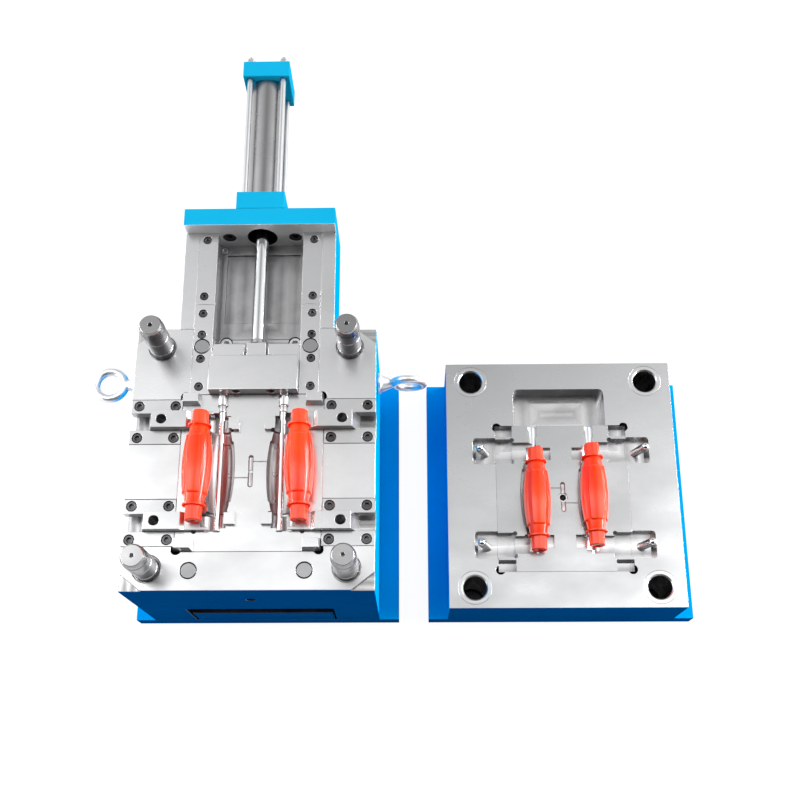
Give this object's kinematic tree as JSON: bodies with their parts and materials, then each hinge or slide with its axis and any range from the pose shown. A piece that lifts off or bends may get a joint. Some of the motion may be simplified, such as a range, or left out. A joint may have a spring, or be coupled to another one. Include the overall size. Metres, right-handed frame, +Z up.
{
  "type": "injection mould",
  "caption": "Open two-plate injection mould for tool grips: core half with side slides and a hydraulic core pull, cavity half with angle pins, and moulded grips lying on both halves.",
  "frame": {"origin": "on the underside of the core half, on the axis of the ejector rod hole", "axes": "+X from the core half to the cavity half, +Y back towards the hydraulic cylinder, +Z up out of the parting faces"},
  "size_m": [0.6495, 0.615, 0.222],
  "materials": {
    "blue_paint": "gloss blue paint",
    "ground_steel": "ground plate faces",
    "polished_insert": "polished tool steel",
    "hardened_steel": "ground hardened steel",
    "chrome_pin": "hard chromed",
    "black_screw": "black oxide",
    "zinc_steel": "zinc plated",
    "brass": "machined brass",
    "orange_plastic": "gloss moulded plastic"
  },
  "bodies": {
    "core_half": {"core_clamp_plate": "blue_paint", "spacer_block_left": "blue_paint", "spacer_block_right": "blue_paint", "support_plate": "blue_paint", "core_plate": "ground_steel", "core_insert": "polished_insert", "guide_pins": "hardened_steel", "frame_screws": "black_screw", "stop_buttons": "hardened_steel", "gibs_left_rear": "hardened_steel", "gibs_left_front": "hardened_steel", "gibs_right_rear": "hardened_steel", "gibs_right_front": "hardened_steel", "gib_screws": "black_screw", "slide_stop_screws": "black_screw", "core_pull_bed": "ground_steel", "bed_screws": "zinc_steel", "rail_left_front": "hardened_steel", "rail_left_rear": "hardened_steel", "rail_right_front": "hardened_steel", "rail_right_rear": "hardened_steel", "rail_screws": "black_screw", "cylinder_bracket": "blue_paint", "bracket_screws": "black_screw", "eye_bolt_left": "zinc_steel", "eye_bolt_right": "zinc_steel", "cylinder_front_cap": "blue_paint", "cylinder_barrel": "hardened_steel", "cylinder_rear_cap": "blue_paint", "tie_rods": "zinc_steel", "port_fittings": "brass"},
    "ejector_stack": {"ejector_plate": "blue_paint", "ejector_retainer_plate": "blue_paint", "return_pins": "hardened_steel", "ejector_pins": "hardened_steel", "ejector_screws": "black_screw"},
    "core_pull": {"carriage_base": "hardened_steel", "carriage_head": "hardened_steel", "carriage_screws": "black_screw", "core_pins": "chrome_pin", "rod_coupling": "hardened_steel", "piston_rod": "chrome_pin", "piston": "hardened_steel"},
    "slide_left_rear": {"side_slide_left_rear": "hardened_steel"},
    "slide_left_front": {"side_slide_left_front": "hardened_steel"},
    "slide_right_rear": {"side_slide_right_rear": "hardened_steel"},
    "slide_right_front": {"side_slide_right_front": "hardened_steel"},
    "cavity_half": {"cavity_clamp_plate": "blue_paint", "cavity_plate": "ground_steel", "cavity_insert": "polished_insert", "guide_bushings": "hardened_steel", "angle_pins": "chrome_pin", "sprue_bushing": "hardened_steel", "locating_ring": "hardened_steel", "cavity_screws": "black_screw"},
    "grip_on_core_left": {"grip_core_left": "orange_plastic"},
    "grip_on_core_right": {"grip_core_right": "orange_plastic"},
    "grip_in_cavity_left": {"grip_cavity_left": "orange_plastic"},
    "grip_in_cavity_right": {"grip_cavity_right": "orange_plastic"}
  },
  "joints": [
    {"name": "ejector_stroke", "type": "slide", "parent": "core_half", "child": "ejector_stack", "axis": [0, 0, 1], "range_m": [0, 0.02]},
    {"name": "core_pull_stroke", "type": "slide", "parent": "core_half", "child": "core_pull", "axis": [0, 1, 0], "range_m": [0, 0.125]},
    {"name": "slide_left_rear_stroke", "type": "slide", "parent": "core_half", "child": "slide_left_rear", "axis": [1, 0, 0], "range_m": [0, 0.0085]},
    {"name": "slide_left_front_stroke", "type": "slide", "parent": "core_half", "child": "slide_left_front", "axis": [1, 0, 0], "range_m": [0, 0.0085]},
    {"name": "slide_right_rear_stroke", "type": "slide", "parent": "core_half", "child": "slide_right_rear", "axis": [-1, 0, 0], "range_m": [0, 0.0085]},
    {"name": "slide_right_front_stroke", "type": "slide", "parent": "core_half", "child": "slide_right_front", "axis": [-1, 0, 0], "range_m": [0, 0.0085]},
    {"name": "cavity_half_lift", "type": "slide", "parent": "core_half", "child": "cavity_half", "axis": [0, 0, 1], "range_m": [0, 0.2]},
    {"name": "grip_core_left_lift", "type": "slide", "parent": "core_half", "child": "grip_on_core_left", "axis": [0, 0, 1], "range_m": [0, 0.15]},
    {"name": "grip_core_right_lift", "type": "slide", "parent": "core_half", "child": "grip_on_core_right", "axis": [0, 0, 1], "range_m": [0, 0.15]},
    {"name": "grip_cavity_left_lift", "type": "slide", "parent": "cavity_half", "child": "grip_in_cavity_left", "axis": [0, 0, 1], "range_m": [0, 0.15]},
    {"name": "grip_cavity_right_lift", "type": "slide", "parent": "cavity_half", "child": "grip_in_cavity_right", "axis": [0, 0, 1], "range_m": [0, 0.15]}
  ]
}
